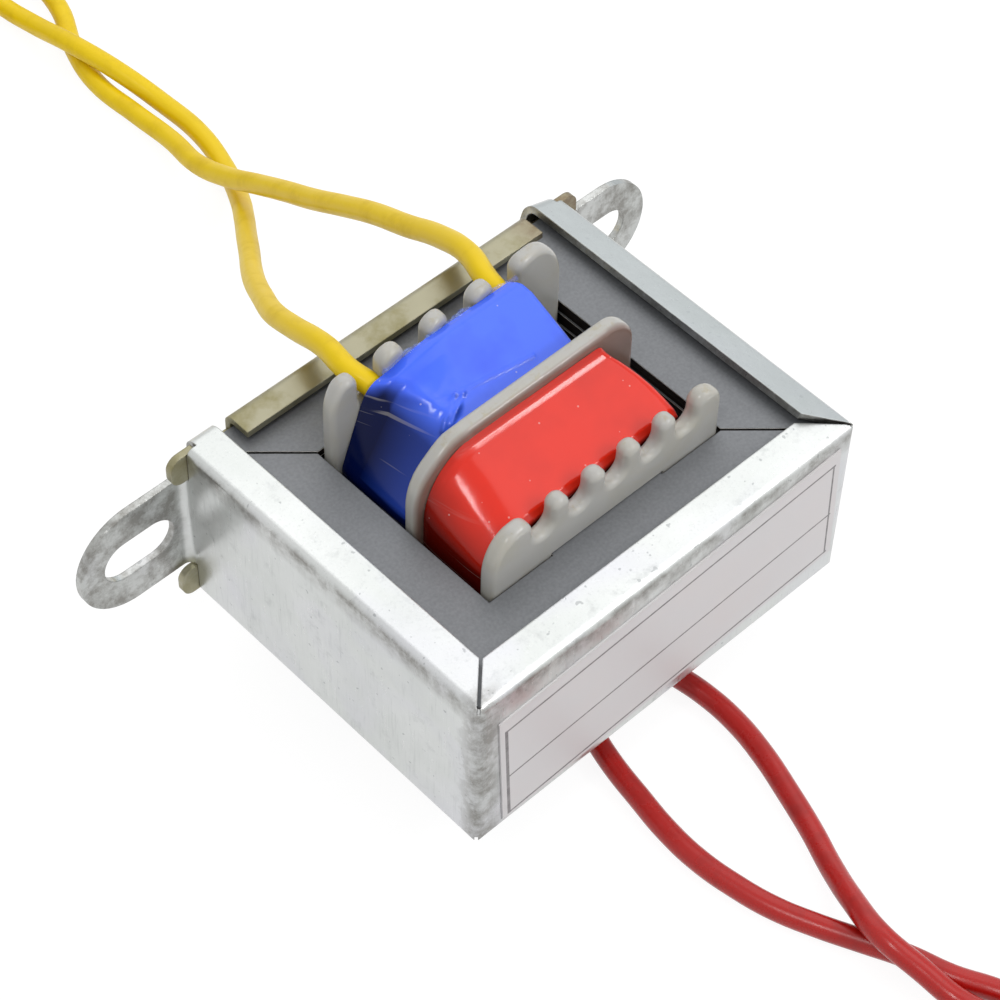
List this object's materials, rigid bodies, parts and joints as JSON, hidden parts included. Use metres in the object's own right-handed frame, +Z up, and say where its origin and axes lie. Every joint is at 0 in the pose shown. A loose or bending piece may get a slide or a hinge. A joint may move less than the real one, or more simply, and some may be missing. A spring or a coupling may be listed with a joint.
{
  "type": "small mains transformer",
  "caption": "Small mains transformer with a laminated core, a split comb bobbin with taped windings, a folded steel frame with slotted ears, and flying leads.",
  "frame": {"origin": "on the surface that the part stands on, under the middle of the box of frame, core and bobbin", "axes": "+X from the left ear to the right ear, +Y towards the mounting plane of the ears, +Z up"},
  "size_m": [0.0444, 0.1398, 0.0232],
  "materials": {
    "zinc_plated_steel": "zinc plated, semi-bright",
    "strip_steel": "plated, dull, slightly tarnished",
    "core_steel": "coated sheet with bright cut edges",
    "moulded_nylon": "moulded, satin",
    "enamelled_copper": "enamelled wire",
    "red_tape": "glossy film tape",
    "blue_tape": "glossy film tape",
    "label_paper": "coated paper",
    "yellow_insulation": "soft extruded, satin",
    "red_insulation": "soft extruded, satin",
    "tie_plastic": "moulded",
    "tinned_copper": "dip tinned"
  },
  "bodies": {
    "root": {"mounting_frame": "zinc_plated_steel", "closing_strip": "strip_steel", "bobbin": "moulded_nylon", "primary_winding": "enamelled_copper", "secondary_winding": "enamelled_copper", "primary_tape": "red_tape", "secondary_tape": "blue_tape", "back_plates_odd": "core_steel", "front_plates_odd": "core_steel", "back_plates_even": "core_steel", "front_plates_even": "core_steel", "label": "label_paper", "yellow_lead_left": "yellow_insulation", "yellow_lead_right": "yellow_insulation", "red_lead_left": "red_insulation", "red_lead_right": "red_insulation", "yellow_coil": "yellow_insulation", "red_coil": "red_insulation", "yellow_tie": "tie_plastic", "red_tie": "tie_plastic", "yellow_tips": "tinned_copper", "red_tips": "tinned_copper"}
  },
  "joints": []
}
